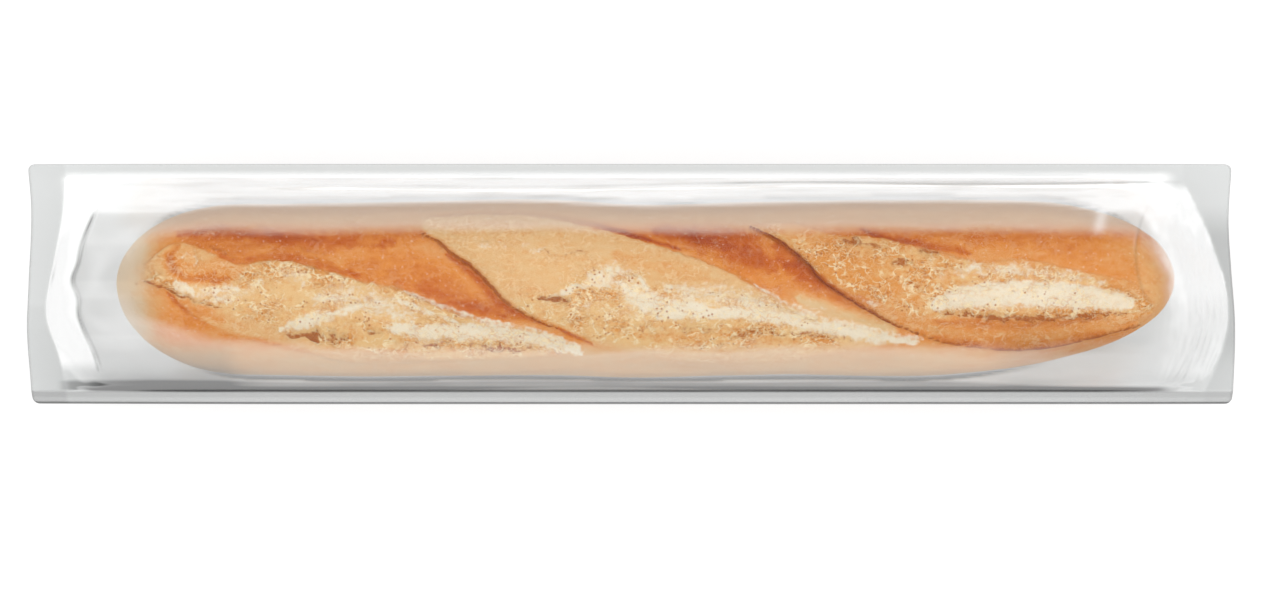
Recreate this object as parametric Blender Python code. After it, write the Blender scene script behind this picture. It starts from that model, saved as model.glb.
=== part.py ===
"""A short baguette sealed in a clear film bag, lying on its back.

The pack is one piece: two panels of film, welded together all round and filled by the loaf.
It is modelled as the closed solid that the film encloses. +X runs along the loaf, +Z is up, and
the origin is on the surface that the pack lies on, under the middle of its outline.
"""

import bmesh
import bpy
import numpy as np

# The bag's outline, in metres
BAG_LENGTH = 0.342
BAG_WIDTH = 0.069
SIDE_HEM = 0.0036  # width of the flat weld along each long side
LEFT_SEAL = 0.0095  # width of the flat weld across each end
RIGHT_SEAL = 0.0080
WELD_THICKNESS = 0.0006
EDGE_WAVE = 0.0009  # how far the trimmed ends wander inwards

# The pillow between the welds, in metres
PACK_HEIGHT = 0.0405
HEM_HEIGHT = 0.0170  # of the long welds above the surface, a little under half way up
END_DROOP = 0.0040  # how far the end welds hang below the long ones
DROOP_START = 0.120  # distance from the middle at which the welds begin to hang
BASE_PRESS = 0.0030  # how much of the rounded base is flattened on the surface
LEFT_SHOULDER = 0.044  # length over which each end rises to full height
RIGHT_SHOULDER = 0.066
TOP_FULLNESS = 1.9  # exponent of the front panel's section, where 2 is an ellipse
BASE_FULLNESS = 2.3
END_FULLNESS = 1.8

# The mesh
CELLS_ALONG = 85
CELLS_ACROSS = 23


def rounded(share, fullness):
    """0 at a share of 0 and 1 from a share of 1 on, rising as a quarter of a superellipse."""
    gap = 1.0 - np.clip(share, 0.0, 1.0)
    return (1.0 - gap**fullness) ** (1.0 / fullness)


def eased_lines(low, high, cells, ease):
    """Grid lines from low to high, drawn closer together towards both ends."""
    even = np.linspace(-1.0, 1.0, cells + 1)
    eased = (1.0 - ease) * even + ease * np.sin(even * np.pi / 2)
    return (low + high) / 2 + eased * (high - low) / 2


def weld_lines(low, high, low_weld, high_weld, cells, ease):
    """Grid lines over one side of the bag: its trimmed edges, and the pillow between the welds."""
    inside = eased_lines(low + low_weld, high - high_weld, cells, ease)
    return np.concatenate([[low], inside, [high]])


def bag_plan():
    """Plan positions of the grid's points, the outermost ring of which is the trimmed edge."""
    half_length, half_width = BAG_LENGTH / 2, BAG_WIDTH / 2
    lines_x = weld_lines(-half_length, half_length, LEFT_SEAL, RIGHT_SEAL, CELLS_ALONG, 0.75)
    lines_y = weld_lines(-half_width, half_width, SIDE_HEM, SIDE_HEM, CELLS_ACROSS, 0.85)
    return np.meshgrid(lines_x, lines_y, indexing="ij")


def end_wave(x, y):
    """How far each point shifts along the bag, so that the trimmed ends aren't quite straight."""
    turn = 2 * np.pi * y / BAG_WIDTH
    near_left = np.clip(-x - DROOP_START, 0.0, None) / (BAG_LENGTH / 2 - DROOP_START)
    near_right = np.clip(x - DROOP_START, 0.0, None) / (BAG_LENGTH / 2 - DROOP_START)
    return EDGE_WAVE / 2 * (near_left * (1 - np.cos(turn)) - near_right * (1 - np.sin(turn)))


def weld_level(x):
    """Height of the welds' middle, which droops smoothly towards both ends."""
    hang = np.clip((np.abs(x) - DROOP_START) / (BAG_LENGTH / 2 - DROOP_START), 0.0, 1.0)
    return HEM_HEIGHT - END_DROOP * hang**2


def pillow(x, y, fullness):
    """Fullness of the pillow at (x, y): 0 along the welds and 1 over the middle of the loaf."""
    from_left = x + BAG_LENGTH / 2 - LEFT_SEAL
    from_right = BAG_LENGTH / 2 - RIGHT_SEAL - x
    across = 1.0 - np.abs(y) / (BAG_WIDTH / 2 - SIDE_HEM)
    ends = rounded(from_left / LEFT_SHOULDER, END_FULLNESS)
    ends = ends * rounded(from_right / RIGHT_SHOULDER, END_FULLNESS)
    return ends * rounded(across, fullness)


def panels():
    """Plan positions, and the heights of the front and back panel, at every point of the grid."""
    x, y = bag_plan()
    level = weld_level(x)
    rise = PACK_HEIGHT - HEM_HEIGHT - WELD_THICKNESS / 2
    fall = HEM_HEIGHT - WELD_THICKNESS / 2 + BASE_PRESS
    front = level + WELD_THICKNESS / 2 + rise * pillow(x, y, TOP_FULLNESS)
    back = level - WELD_THICKNESS / 2 - fall * pillow(x, y, BASE_FULLNESS)
    return x + end_wave(x, y), y, front, np.maximum(back, 0.0)


def sealed_bag(name):
    """The pack as one closed body: a grid pulled out into a slab, then shaped by the panels."""
    x, y, front, back = panels()
    lines_x, lines_y = x.shape
    shape = bmesh.new()
    bmesh.ops.create_grid(shape, x_segments=lines_x - 1, y_segments=lines_y - 1, size=0.5)
    pulled = bmesh.ops.extrude_face_region(shape, geom=shape.faces[:])["geom"]
    upper = {item for item in pulled if isinstance(item, bmesh.types.BMVert)}
    for vertex in shape.verts:
        i = round((vertex.co.x + 0.5) * (lines_x - 1))
        j = round((vertex.co.y + 0.5) * (lines_y - 1))
        panel = front if vertex in upper else back
        vertex.co = (x[i, j], y[i, j], panel[i, j])
    bmesh.ops.recalc_face_normals(shape, faces=shape.faces[:])
    mesh = bpy.data.meshes.new(name)
    shape.to_mesh(mesh)
    shape.free()
    mesh.shade_smooth()
    return bpy.data.objects.new(name, mesh)


def clear_film():
    """Glossy clear film with the crust's colour showing through."""
    material = bpy.data.materials.new("clear_film")
    material.use_nodes = True
    shader = material.node_tree.nodes["Principled BSDF"]
    shader.inputs["Base Color"].default_value = (0.68, 0.36, 0.14, 1.0)
    shader.inputs["Roughness"].default_value = 0.15
    shader.inputs["Metallic"].default_value = 0.0
    return material


def main():
    for thing in list(bpy.data.objects):
        bpy.data.objects.remove(thing)
    pack = bpy.data.collections.new("loaf_in_bread_bag")
    bpy.context.scene.collection.children.link(pack)
    bag = sealed_bag("bread_bag")
    bag.data.materials.append(clear_film())
    pack.objects.link(bag)


main()
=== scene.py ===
"""The looks of a short baguette sealed in a clear film bag, lying on a pale floor.

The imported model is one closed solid. Here a film bag and the loaf inside it stand for that solid.
Sizes in the classes are millimetres on the bag's plan, whose middle is the origin, with x along
the loaf, y across it and z up from the floor. The frame's box turns them into metres.
"""

from __future__ import annotations

import logging
import math
from dataclasses import dataclass, field
from enum import Enum
from typing import Any, Sequence

import bpy
import numpy as np
from numpy.typing import NDArray
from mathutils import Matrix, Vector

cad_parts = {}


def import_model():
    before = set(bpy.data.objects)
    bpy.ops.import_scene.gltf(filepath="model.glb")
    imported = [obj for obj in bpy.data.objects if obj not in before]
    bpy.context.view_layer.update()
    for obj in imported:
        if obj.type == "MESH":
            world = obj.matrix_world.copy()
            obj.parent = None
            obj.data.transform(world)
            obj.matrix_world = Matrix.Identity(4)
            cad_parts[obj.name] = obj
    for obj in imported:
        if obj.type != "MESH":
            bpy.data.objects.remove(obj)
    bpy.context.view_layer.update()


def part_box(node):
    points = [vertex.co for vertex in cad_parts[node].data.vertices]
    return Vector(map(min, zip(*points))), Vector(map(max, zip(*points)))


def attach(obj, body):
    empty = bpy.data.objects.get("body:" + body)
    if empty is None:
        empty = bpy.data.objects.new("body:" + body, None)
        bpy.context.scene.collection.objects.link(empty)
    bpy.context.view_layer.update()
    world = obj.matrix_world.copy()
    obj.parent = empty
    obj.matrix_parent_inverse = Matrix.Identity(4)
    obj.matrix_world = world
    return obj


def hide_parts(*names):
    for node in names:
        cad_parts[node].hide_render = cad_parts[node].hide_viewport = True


Array = NDArray[np.float64]
Colour = tuple[float, float, float]
Point = tuple[float, float]

LOG = logging.getLogger("loaf_in_bread_bag")
PACK_NODE = "bread_bag"
BODY = "root"
FILM_VEIL = 0.034  # how much light the film adds to what lies under it
FILM_SHARE = 0.95  # and the share of the light on it that comes back through the film
BAG_LENGTH = 342.0  # millimetres on the plan, which the frame's box is measured against


# ---------------------------------------------------------------- numbers


def ramp(value: Array, low: float, high: float) -> Array:
    """0 below low and 1 above high, with a smooth step of 3t squared less 2t cubed between."""
    share = np.clip((value - low) / (high - low), 0.0, 1.0)
    return share * share * (3.0 - 2.0 * share)


def within(value: Array, low: float, high: float, soft: float) -> Array:
    """1 between low and high, fading to 0 over the distance soft outside them."""
    return ramp(value, low - soft, low) * (1.0 - ramp(value, high, high + soft))


def bump(value: Array, middle: float, width: float) -> Array:
    """A bell round middle: e to the minus square of the distance over width."""
    return np.exp(-(((value - middle) / width) ** 2))


def rounded(share: Array, fullness: float) -> Array:
    """0 at a share of 0 and 1 from a share of 1 on, rising as a quarter of a superellipse."""
    gap = 1.0 - np.clip(share, 0.0, 1.0)
    return (1.0 - gap**fullness) ** (1.0 / fullness)


def eased(share: Array, straight: float) -> Array:
    """0 at a share of 0 and 1 from a share of 1 on: a straight rise, then a parabola's top."""
    held = np.clip(share, 0.0, 1.0)
    over = np.maximum(held - straight, 0.0)
    return (held - over * over / (2.0 * (1.0 - straight))) * 2.0 / (1.0 + straight)


def smooth_maximum(one: Array, other: Array, blend: float) -> Array:
    """The larger of two heights, with the corner between them filled over the height blend."""
    gap = np.clip(1.0 - np.abs(one - other) / blend, 0.0, 1.0)
    return np.maximum(one, other) + blend * gap * gap / 4.0


def linear(red: int, green: int, blue: int) -> Colour:
    """A colour given as sRGB from 0 to 255, in the linear numbers that shaders take."""
    shares = np.array([red, green, blue]) / 255.0
    high = ((shares + 0.055) / 1.055) ** 2.4
    return tuple(float(part) for part in np.where(shares <= 0.04045, shares / 12.92, high))


def under_film(red: int, green: int, blue: int) -> Colour:
    """The colour that looks like the given sRGB one through the film.

    The film's faint mirror image of the room is taken off, and what the film keeps is added.
    """
    seen = np.array(linear(red, green, blue))
    return tuple(float(part) for part in np.clip((seen - FILM_VEIL) / FILM_SHARE, 0.012, 0.95))


def graded(low: float, high: float, cells: int, weight: Any) -> Array:
    """Grid lines from low to high, closer together where weight is larger.

    Args:
        low: the first line.
        high: the last line.
        cells: the number of cells between the lines.
        weight: how dense the lines are at each place, as a function of arrays.

    Returns:
        cells + 1 places. The running sum of the weight is split into equal parts.
    """
    fine = np.linspace(low, high, 4000)
    total = np.concatenate([[0.0], np.cumsum(weight((fine[1:] + fine[:-1]) / 2))])
    return np.interp(np.linspace(0.0, total[-1], cells + 1), total, fine)


class Noise:
    """Smooth random values in space, the same on every run."""

    def __init__(self, seed: int) -> None:
        """Draws the lattice's gradients and its order from the seed."""
        generator = np.random.default_rng(seed)
        self.order = generator.permutation(256)
        gradients = generator.normal(size=(256, 3))
        self.gradients = gradients / np.linalg.norm(gradients, axis=1, keepdims=True)
        self.values = generator.random((256, 4))

    def _corner(self, i: Array, j: Array, k: Array) -> Array:
        """The number of the lattice's corner at whole coordinates i, j, k."""
        step = self.order[i & 255]
        step = self.order[(step + j) & 255]
        return self.order[(step + k) & 255]

    def smooth(self, x: Array, y: Array, z: Array) -> Array:
        """Gradient noise from about -1 to 1.

        Each corner of the unit cell round a point gives the dot product of its gradient and the
        way from the corner to the point. The eight are blended by 6t^5 - 15t^4 + 10t^3.
        """
        x, y, z = np.broadcast_arrays(x, y, z)
        base = [np.floor(part).astype(np.int64) for part in (x, y, z)]
        inside = [part - whole for part, whole in zip((x, y, z), base)]
        fade = [t * t * t * (t * (t * 6.0 - 15.0) + 10.0) for t in inside]
        total = np.zeros_like(inside[0])
        for corner in range(8):
            steps = (corner & 1, corner >> 1 & 1, corner >> 2 & 1)
            number = self._corner(*(whole + step for whole, step in zip(base, steps)))
            gradient = self.gradients[number]
            share = np.ones_like(total)
            reach = np.zeros_like(total)
            for axis, step in enumerate(steps):
                share = share * (fade[axis] if step else 1.0 - fade[axis])
                reach = reach + gradient[..., axis] * (inside[axis] - step)
            total = total + share * reach
        return total * 1.6

    def rough(self, x: Array, y: Array, z: Array, size: float, octaves: int = 3) -> Array:
        """Noise of several sizes: each octave has half the size and 0.55 of the height."""
        total, height = np.zeros(np.broadcast(x, y, z).shape), 1.0
        for octave in range(octaves):
            scale = 2.0**octave / size
            shift = 17.3 * octave
            total = total + height * self.smooth(x * scale + shift, y * scale, z * scale)
            height *= 0.55
        return total

    def pits(self, x: Array, y: Array, size: float, fill: float) -> Array:
        """Round pits scattered one to a cell of a grid, from 0 outside to 1 in their middle.

        A share fill of the cells holds a pit, whose radius is from 0.25 to 0.55 of the cell.
        """
        i, j = np.floor(x / size).astype(np.int64), np.floor(y / size).astype(np.int64)
        deepest = np.zeros(np.shape(x))
        for step in range(9):
            column, row = i + step % 3 - 1, j + step // 3 - 1
            drawn = self.values[self._corner(column, row, column * 0)]
            reach = np.hypot(
                x / size - column - drawn[..., 0],
                (y / size - row - drawn[..., 1]) * 1.35,
            )
            radius = 0.25 + 0.30 * drawn[..., 2]
            pit = np.clip(1.0 - reach / radius, 0.0, 1.0) * (drawn[..., 3] < fill)
            deepest = np.maximum(deepest, pit)
        return deepest


@dataclass(frozen=True)
class Line:
    """A smooth line over the plan that has one y for each x, through a few points."""

    points: tuple[Point, ...]

    def at(self, x: Array) -> Array:
        """y at each x: a cubic between neighbouring points, with the slopes of their chords."""
        along, across = np.array(self.points).T
        slopes = np.gradient(across, along)
        clipped = np.clip(x, along[0], along[-1])
        cell = np.clip(np.searchsorted(along, clipped) - 1, 0, len(along) - 2)
        width = along[cell + 1] - along[cell]
        t = (clipped - along[cell]) / width
        start = (1 + 2 * t) * (1 - t) ** 2 * across[cell] + t * (1 - t) ** 2 * width * slopes[cell]
        end = t * t * (3 - 2 * t) * across[cell + 1]
        return start + end + t * t * (t - 1) * width * slopes[cell + 1]

    def above(self, x: Array, y: Array) -> Array:
        """Distance of each point to the line, positive on its +Y side.

        The gap along y is divided by the root of one plus the line's slope squared.
        """
        slope = self.at(x + 0.5) - self.at(x - 0.5)
        return (y - self.at(x)) / np.sqrt(1.0 + slope * slope)


class Mark(Enum):
    """What a stroke does to the loaf's skin."""

    EAR = "a raised lip of crust along a cut"
    FLOUR = "flour-dusted crumb"
    # HOLLOW and CREASE strokes also paint shade into the skin's colour through the dark share
    HOLLOW = "a torn hollow under a lip"
    CREASE = "a tight dark fold"
    TOAST = "a darker bake"
    PALE = "a paler bake"
    SWELL = "a rise in the dough"


@dataclass(frozen=True)
class Stroke:
    """A soft mark along a smooth path on the loaf's top.

    Fields:
        mark: what it does.
        points: the points of the path, in order.
        width: half the width of the mark.
        amount: its strength, or its height or depth in millimetres.
        ragged: how far noise pushes its edges about.
        patchy: how much noise interrupts it, from 0 to 1.
    """

    mark: Mark
    points: tuple[Point, ...]
    width: float
    amount: float
    ragged: float = 0.0
    patchy: float = 0.0

    def path(self) -> Array:
        """The path at close steps: a Catmull-Rom spline through the points."""
        given = np.array(self.points, dtype=float)
        ends = [2 * given[0] - given[1], *given, 2 * given[-1] - given[-2]]
        p = np.array(ends)
        t = np.linspace(0.0, 1.0, 9)[:-1, None]
        runs = [
            0.5
            * (
                2 * p[i]
                + (p[i + 1] - p[i - 1]) * t
                + (2 * p[i - 1] - 5 * p[i] + 4 * p[i + 1] - p[i + 2]) * t**2
                + (3 * p[i] - p[i - 1] - 3 * p[i + 1] + p[i + 2]) * t**3
            )
            for i in range(1, len(p) - 2)
        ]
        return np.concatenate([*runs, given[-1:]])

    def weight(self, x: Array, y: Array, warp_x: Array, warp_y: Array, gaps: Array) -> Array:
        """How strongly the mark is felt at each point, from 0 to 1.

        It is a bell over the distance to the path, whose width shrinks towards both ends.

        Args:
            x, y: the points.
            warp_x, warp_y: noise that bends the mark's edges.
            gaps: noise that interrupts a patchy mark.
        """
        path = self.path()
        found = np.zeros(np.shape(x))
        reach = 3.0 * self.width + self.ragged
        low, high = path.min(axis=0) - reach, path.max(axis=0) + reach
        near = (x > low[0]) & (x < high[0]) & (y > low[1]) & (y < high[1])
        if not near.any():
            return found
        px = x[near] + self.ragged * warp_x[near]
        py = y[near] + self.ragged * warp_y[near]
        nearest = np.full(px.shape, np.inf)
        share = np.zeros(px.shape)
        for index, (a, b) in enumerate(zip(path[:-1], path[1:])):
            way = b - a
            t = ((px - a[0]) * way[0] + (py - a[1]) * way[1]) / max(float(way @ way), 1e-9)
            t = np.clip(t, 0.0, 1.0)
            distance = np.hypot(px - a[0] - t * way[0], py - a[1] - t * way[1])
            closer = distance < nearest
            nearest = np.where(closer, distance, nearest)
            share = np.where(closer, (index + t) / (len(path) - 1), share)
        taper = 0.2 + 0.8 * np.sqrt(np.clip(np.sin(np.pi * share), 0.0, 1.0))
        bell = np.exp(-((nearest / (self.width * taper)) ** 2))
        cover = 1.0 - self.patchy * ramp(gaps[near], -0.15, 0.25)
        found[near] = bell * cover
        return found


def strokes(mark: Mark, *rows: tuple[Any, ...]) -> tuple[Stroke, ...]:
    """Strokes of one mark, each from a row of its points, width, amount and the rest."""
    return tuple(Stroke(mark, *row) for row in rows)


@dataclass(frozen=True)
class Slash:
    """One cut in the loaf's top, opened by the oven.

    Fields:
        upper: the edge of the crust on its +Y side, up to which the cut is open.
        lower: the fold on its -Y side.
        torn_from: the line below which its inside is torn crumb, and above which it is skin.
        torn_to: the line above which its inside is torn crumb.
        start, end: where it begins and ends along the loaf.
        sink: how far its inside lies below the crust.
        swell: how far its middle rises again.
        toast: how dark its inside is baked.
    """

    upper: Line
    lower: Line
    torn_from: Line
    torn_to: Line
    start: float
    end: float
    sink: float
    swell: float
    toast: float

    def opened(
        self, x: Array, y: Array, warp_x: Array, warp_y: Array
    ) -> tuple[Array, Array, Array]:
        """How far each point is inside the cut, how high its inside swells and how torn it is.

        Args:
            x, y: the points.
            warp_x, warp_y: noise that bends the cut's edges.

        Returns:
            three shares, each from 0 to 1.
        """
        edge = self.upper.above(x + 0.3 * warp_x, y + 0.35 * warp_y)
        fold = self.lower.above(x, y)
        inside = ramp(-edge, -0.1, 0.7) * ramp(fold, -0.2, 1.6)
        inside = inside * within(x, self.start, self.end, 1.5)
        span = np.maximum(self.upper.at(x) - self.lower.at(x), 1.0)
        share = np.clip((y - self.lower.at(x)) / span, 0.0, 1.0)
        crown = np.sin(np.pi * share) * np.minimum(span / 12.0, 1.0)
        torn = ramp(-self.torn_from.above(x + warp_x, y + 1.1 * warp_y), -0.3, 1.0)
        torn = torn * ramp(self.torn_to.above(x + warp_x, y + 0.9 * warp_y), -0.3, 1.0)
        return inside, crown, torn


# ---------------------------------------------------------------- shaders


class Value:
    """A shader socket that takes part in Python expressions, each of which adds a Math node."""

    def __init__(self, bench: "Bench", socket: Any) -> None:
        """Wraps the output socket of a node on the bench."""
        self.bench = bench
        self.socket = socket

    def _with(self, operation: str, first: Any, second: Any) -> "Value":
        """A Math node of that operation on two numbers or values."""
        return self.bench.maths(operation, first, second)

    def __add__(self, other: Any) -> "Value":
        """This value plus another."""
        return self._with("ADD", self, other)

    __radd__ = __add__

    def __sub__(self, other: Any) -> "Value":
        """This value less another."""
        return self._with("SUBTRACT", self, other)

    def __rsub__(self, other: Any) -> "Value":
        """A number less this value."""
        return self._with("SUBTRACT", other, self)

    def __mul__(self, other: Any) -> "Value":
        """This value times another."""
        return self._with("MULTIPLY", self, other)

    __rmul__ = __mul__


class Bench:
    """A material's node tree, with one way to add each kind of node."""

    def __init__(self, name: str) -> None:
        """Starts an empty material of that name."""
        self.material = bpy.data.materials.new(name)
        self.material.use_nodes = True
        self.tree = self.material.node_tree
        self.tree.nodes.clear()

    def node(self, kind: str, settings: dict[str, Any], sockets: dict[Any, Any]) -> Any:
        """Adds a node.

        Args:
            kind: the node's type, without the leading ShaderNode.
            settings: its properties, or the stops of a ramp as (place, colour) pairs.
            sockets: numbers, colours, values or output sockets for its inputs.

        Returns:
            The node.
        """
        made = self.tree.nodes.new("ShaderNode" + kind)
        for name, setting in settings.items():
            if name == "stops":
                self._set_stops(made.color_ramp, setting)
            else:
                setattr(made, name, setting)
        for name, given in sockets.items():
            self._feed(made.inputs[name], given)
        return made

    @staticmethod
    def _set_stops(band: Any, stops: Sequence[tuple[float, Colour]]) -> None:
        """Gives a colour ramp its stops."""
        while len(band.elements) < len(stops):
            band.elements.new(0.5)
        for element, (place, colour) in zip(band.elements, stops):
            element.position = place
            element.color = (*colour, 1.0)

    def _feed(self, socket: Any, given: Any) -> None:
        """Links or sets one input socket."""
        if isinstance(given, Value):
            self.tree.links.new(given.socket, socket)
        elif isinstance(given, bpy.types.NodeSocket):
            self.tree.links.new(given, socket)
        elif isinstance(given, tuple) and len(given) == 3 and socket.type == "RGBA":
            socket.default_value = (*given, 1.0)
        else:
            socket.default_value = given

    def maths(self, operation: str, first: Any, second: Any = 0.0, clamp: bool = False) -> Value:
        """A Math node as a value."""
        settings = {"operation": operation, "use_clamp": clamp}
        return Value(self, self.node("Math", settings, {0: first, 1: second}).outputs[0])

    def held(self, value: Value) -> Value:
        """The value kept between 0 and 1."""
        return self.maths("ADD", value, 0.0, clamp=True)

    def between(self, value: Value, low: float, high: float) -> Value:
        """0 below low and 1 above high, with a smooth step between."""
        sockets = {"Value": value, "From Min": low, "From Max": high}
        made = self.node("MapRange", {"interpolation_type": "SMOOTHSTEP"}, sockets)
        return Value(self, made.outputs["Result"])

    def mixed(self, share: Any, first: Any, second: Any) -> Any:
        """A colour that goes from first to second as share goes from 0 to 1."""
        settings = {"data_type": "RGBA", "blend_type": "MIX", "clamp_factor": True}
        return self.node("Mix", settings, {0: share, 6: first, 7: second}).outputs[2]

    def attribute(self, name: str) -> Value:
        """A number stored on the mesh's points."""
        settings = {"attribute_type": "GEOMETRY", "attribute_name": name}
        return Value(self, self.node("Attribute", settings, {}).outputs["Fac"])

    def places(self, stretch: Colour = (1.0, 1.0, 1.0)) -> Any:
        """Object coordinates, scaled along each axis."""
        coordinates = self.node("TexCoord", {}, {}).outputs["Object"]
        return self.node("Mapping", {}, {"Vector": coordinates, "Scale": stretch}).outputs[0]

    def noise(self, size: float, detail: float = 3.0, stretch: Colour = (1.0, 1.0, 1.0)) -> Value:
        """Noise from 0 to 1, with lumps of about that size in metres."""
        sockets = {"Vector": self.places(stretch), "Scale": 1.0 / size, "Detail": detail}
        made = self.node("TexNoise", {"noise_dimensions": "3D"}, sockets)
        return Value(self, made.outputs[0])

    def cells(self, size: float) -> Value:
        """Distance to the nearest of points scattered that far apart, in cells."""
        sockets = {"Vector": self.places(), "Scale": 1.0 / size}
        made = self.node("TexVoronoi", {"feature": "F1"}, sockets)
        return Value(self, made.outputs["Distance"])

    def finished(self, shader: Any) -> bpy.types.Material:
        """Links the shader to the output and returns the material."""
        self.node("OutputMaterial", {}, {"Surface": shader})
        return self.material


@dataclass(frozen=True)
class CrustFinish:
    """Baked crust and torn crumb, coloured by the attributes on the loaf's points.

    toast runs from 0, hardly baked, to 1, burnt. crumb, flour and dark are shares. dark is painted
    shade in hollows, creases, pits and pores, and shaded_flank is painted shade and film sheen on
    the loaf's sides.
    """

    pale: Colour = under_film(228, 196, 152)
    straw: Colour = under_film(228, 176, 122)
    golden: Colour = under_film(223, 146, 82)
    brown: Colour = under_film(199, 108, 60)
    burnt: Colour = under_film(164, 80, 50)
    # painted shade and film sheen: the dull tan that the loaf's sides are painted towards
    side: Colour = linear(197, 156, 110)
    crumb: Colour = under_film(233, 194, 142)
    crumb_gold: Colour = under_film(222, 154, 90)
    thread: Colour = under_film(247, 226, 186)
    flour: Colour = under_film(239, 228, 207)
    # painted shade: the colour of shaded hollows, pits and pores, and the darker core of shaded
    # creases
    hollow: Colour = under_film(172, 98, 54)
    crease: Colour = under_film(126, 68, 38)
    roughness: float = 0.62
    grain: float = 0.0011
    mottle: float = 0.0042

    def material(self) -> bpy.types.Material:
        """The finish as a material."""
        bench = Bench("baked_crust")
        toast, crumb = bench.attribute("toast"), bench.attribute("crumb")
        flour, dark = bench.attribute("flour"), bench.attribute("dark")
        fine = bench.noise(self.grain, 4.0)
        broad = bench.noise(self.mottle, 3.0)
        streaks = bench.noise(0.0016, 3.0, (0.35, 1.0, 1.0))
        specks = bench.between(bench.noise(0.0009, 1.0), 0.64, 0.76)
        torn = bench.held(crumb + flour * 0.3)

        baked = toast + (broad - 0.5) * 0.30 + (streaks - 0.5) * 0.25 + (fine - 0.5) * 0.12
        baked = bench.held(baked)
        stops = [
            (0.0, self.pale),
            (0.25, self.straw),
            (0.5, self.golden),
            (0.75, self.brown),
            (1.0, self.burnt),
        ]
        crust = bench.node("ValToRGB", {"stops": stops}, {0: baked}).outputs[0]
        # painted shade and film sheen on the loaf's sides, mixed in by the shaded_flank share
        crust = bench.mixed(bench.attribute("shaded_flank") * 0.8, crust, self.side)
        lumps = bench.noise(0.0062, 3.0, (0.7, 1.0, 1.0))
        gold = bench.between(lumps * 0.5 + fine * 0.3 + streaks * 0.2 + toast * 0.3, 0.47, 0.72)
        inside = bench.mixed(gold, self.crumb, self.crumb_gold)
        colour = bench.mixed(crumb, crust, inside)
        dust = flour + (fine - 0.5) * 1.3 + (streaks - 0.5) * 0.7 + (broad - 0.5) * 0.5
        dust = bench.between(dust, 0.12, 0.98) * bench.between(flour, 0.03, 0.3) * 0.94
        colour = bench.mixed(dust, colour, self.flour)
        threads = self._threads(bench, 0.0030, 0.055, 2.0) * bench.between(broad, 0.4, 0.6)
        finer = self._threads(bench, 0.0015, 0.07, 7.0) * bench.between(lumps, 0.4, 0.62)
        threads = bench.held(threads + finer * 0.7)
        colour = bench.mixed(threads * (0.12 + torn * 0.78), colour, self.thread)
        # painted shade in the crumb's cracks: the hollow colour, and ochre where there is flour
        cracks = self._threads(bench, 0.0024, 0.05, 11.0) * bench.between(lumps, 0.46, 0.6)
        cracked = bench.mixed(flour, self.hollow, self.crumb_gold)
        colour = bench.mixed(cracks * crumb * 0.34, colour, cracked)
        colour = bench.mixed(specks * (1.0 - dark) * 0.25, colour, self.flour)
        # painted shade in the crumb's small holes
        holes = 1.0 - bench.between(bench.cells(0.0014), 0.12, 0.34)
        pores = holes * bench.between(broad, 0.5, 0.6)
        colour = bench.mixed(pores * (torn - 0.15) * 0.8, colour, self.hollow)
        # painted shade in hollows, creases, pits and pores, from the dark share, with a darker core
        # in creases
        shadow = bench.between(dark + (fine - 0.5) * 0.9 + (streaks - 0.5) * 0.5, 0.2, 0.75)
        colour = bench.mixed(shadow * (0.85 - threads * crumb * 0.5), colour, self.hollow)
        colour = bench.mixed(bench.between(dark, 0.72, 1.0) * 0.85, colour, self.crease)

        height = fine * (0.2 + torn * 0.5) + threads * torn * 0.6 - cracks * crumb * 0.6
        relief = bench.node("Bump", {}, {"Strength": 0.42, "Distance": 0.0006, "Height": height})
        dull = bench.held(self.roughness - toast * 0.14 + torn * 0.3)
        sockets = {
            "Base Color": colour,
            "Roughness": dull,
            "Normal": relief.outputs[0],
            "Specular IOR Level": 0.12,
        }
        return bench.finished(bench.node("BsdfPrincipled", {}, sockets).outputs[0])

    @staticmethod
    def _threads(bench: Bench, size: float, width: float, shift: float) -> Value:
        """Thin wandering lines, where a noise crosses its middle value."""
        coordinates = bench.node("TexCoord", {}, {}).outputs["Object"]
        placed = {"Vector": coordinates, "Location": (shift, 0.0, 0.0), "Scale": (0.75, 1.0, 1.0)}
        vector = bench.node("Mapping", {}, placed).outputs[0]
        sockets = {"Vector": vector, "Scale": 1.0 / size, "Detail": 2.0, "Distortion": 0.6}
        value = Value(bench, bench.node("TexNoise", {"noise_dimensions": "3D"}, sockets).outputs[0])
        return 1.0 - bench.between(bench.maths("ABSOLUTE", value - 0.5), 0.0, width)


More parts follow.
